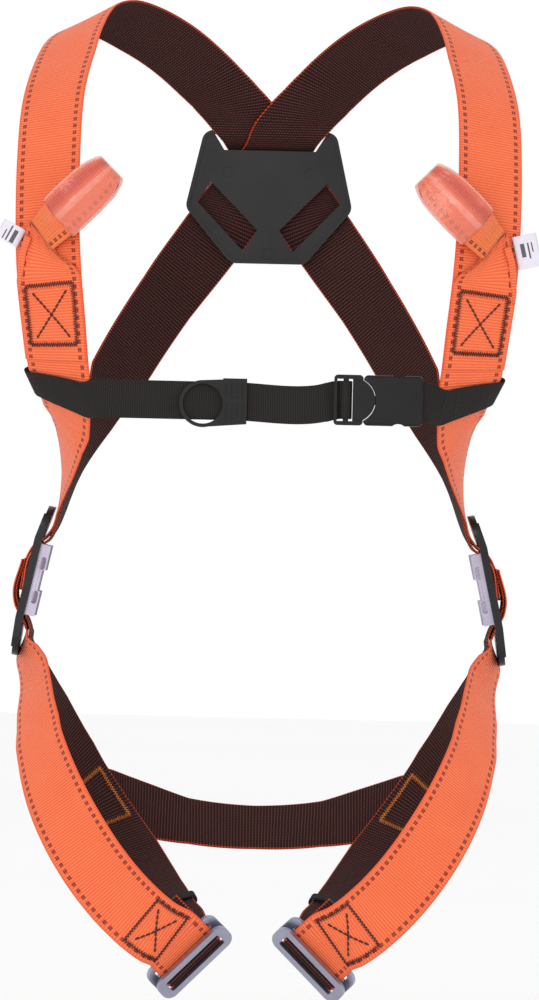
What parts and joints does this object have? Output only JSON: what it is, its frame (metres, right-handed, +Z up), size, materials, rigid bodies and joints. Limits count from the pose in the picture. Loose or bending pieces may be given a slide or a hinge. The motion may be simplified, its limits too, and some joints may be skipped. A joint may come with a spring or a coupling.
{
  "type": "full body safety harness",
  "caption": "Full-body fall-arrest harness of orange webbing with dorsal D-ring, chest loops, chest buckle, hip plates and leg buckles, shaped as worn.",
  "frame": {"origin": "on the middle line of the wearer's torso, at the height of the chest strap", "axes": "+Z up along the wearer's spine, -Y the way the wearer faces, +X the wearer's left"},
  "size_m": [0.3582, 0.2826, 0.6602],
  "materials": {
    "orange_webbing": "ribbed polyester webbing, orange face with dark tracers, near-black brown back",
    "black_webbing": "fine ribbed black webbing",
    "elastic": "woven elastic",
    "black_plastic": "moulded, lightly textured",
    "buckle_plastic": "moulded acetal, satin",
    "zinc_steel": "zinc plated, satin",
    "clear_sheath": "clear glossy tube over orange webbing",
    "label_white": "woven label with plain bars"
  },
  "bodies": {
    "harness": {"shoulder_strap_left": "orange_webbing", "shoulder_strap_right": "orange_webbing", "thigh_strap_front_left": "orange_webbing", "thigh_strap_front_right": "orange_webbing", "thigh_strap_rear_left": "orange_webbing", "thigh_strap_rear_right": "orange_webbing", "seat_strap": "orange_webbing", "chest_flap_left": "orange_webbing", "chest_flap_right": "orange_webbing", "chest_strap_left": "black_webbing", "chest_strap_right": "black_webbing", "dorsal_plate": "black_plastic", "side_plate_left": "black_plastic", "side_plate_right": "black_plastic", "side_frame_left": "zinc_steel", "side_frame_right": "zinc_steel", "leg_buckle_rear_left": "zinc_steel", "leg_buckle_rear_right": "zinc_steel", "buckle_female": "buckle_plastic"},
    "d_ring": {"dorsal_d_ring": "zinc_steel"},
    "loop_left": {"sternal_loop_left": "orange_webbing", "loop_sheath_left": "clear_sheath"},
    "loop_right": {"sternal_loop_right": "orange_webbing", "loop_sheath_right": "clear_sheath"},
    "tag_left": {"label_left": "label_white"},
    "tag_right": {"label_right": "label_white"},
    "keeper_left": {"strap_keeper_left": "elastic"},
    "keeper_right": {"strap_keeper_right": "elastic"},
    "leg_frame_left": {"leg_buckle_front_left": "zinc_steel"},
    "leg_frame_right": {"leg_buckle_front_right": "zinc_steel"},
    "ring": {"parking_ring": "buckle_plastic"},
    "male_buckle": {"buckle_male": "buckle_plastic"},
    "prong_upper": {"buckle_prong_upper": "buckle_plastic"},
    "prong_lower": {"buckle_prong_lower": "buckle_plastic"}
  },
  "joints": [
    {"name": "d_ring_swing", "type": "hinge", "parent": "harness", "child": "d_ring", "pos_m": [0, 0.117, 0.163], "axis": [1, 0, 0], "range_deg": [-20, 120]},
    {"name": "loop_left_lift", "type": "hinge", "parent": "harness", "child": "loop_left", "pos_m": [0.1475, -0.11325, 0.104], "axis": [0.7081, 0, 0.7061], "range_deg": [0, 35]},
    {"name": "loop_right_lift", "type": "hinge", "parent": "harness", "child": "loop_right", "pos_m": [-0.1475, -0.11325, 0.104], "axis": [0.7081, 0, -0.7061], "range_deg": [0, 35]},
    {"name": "tag_left_flap", "type": "hinge", "parent": "harness", "child": "tag_left", "pos_m": [0.1625, -0.10645, 0.0988], "axis": [0.2307, 0, -0.973], "range_deg": [0, 60]},
    {"name": "tag_right_flap", "type": "hinge", "parent": "harness", "child": "tag_right", "pos_m": [-0.1613, -0.10645, 0.101], "axis": [0.4711, 0, 0.8821], "range_deg": [0, 60]},
    {"name": "keeper_left_slide", "type": "slide", "parent": "harness", "child": "keeper_left", "axis": [-0.1951, -0.9383, -0.2854], "range_m": [-0.004, 0.004]},
    {"name": "keeper_right_slide", "type": "slide", "parent": "harness", "child": "keeper_right", "axis": [0.1951, -0.9383, -0.2854], "range_m": [-0.004, 0.004]},
    {"name": "leg_frame_left_turn", "type": "hinge", "parent": "harness", "child": "leg_frame_left", "pos_m": [0.03829, -0.1022, -0.36881], "axis": [0.7071, 0, -0.7071], "range_deg": [0, 18]},
    {"name": "leg_frame_right_turn", "type": "hinge", "parent": "harness", "child": "leg_frame_right", "pos_m": [-0.03829, -0.1022, -0.36881], "axis": [0.7071, 0, 0.7071], "range_deg": [0, 18]},
    {"name": "ring_slide", "type": "slide", "parent": "harness", "child": "ring", "axis": [1, 0, 0], "range_m": [-0.045, 0.02]},
    {"name": "buckle_release", "type": "slide", "parent": "harness", "child": "male_buckle", "axis": [-1, 0, 0], "range_m": [0, 0.035], "deforming": ["chest_strap_right"]},
    {"name": "prong_upper_press", "type": "hinge", "parent": "male_buckle", "child": "prong_upper", "pos_m": [0.0712, -0.117, 0.0109], "axis": [0, 1, 0], "range_deg": [0, 7], "stiffness_Nm_per_rad": 0.5},
    {"name": "prong_lower_press", "type": "hinge", "parent": "male_buckle", "child": "prong_lower", "pos_m": [0.0712, -0.117, -0.0099], "axis": [0, -1, 0], "range_deg": [0, 7], "stiffness_Nm_per_rad": 0.5}
  ],
  "couplings": [
    {"joint": "prong_lower_press", "follows": "prong_upper_press", "ratio": 1}
  ]
}
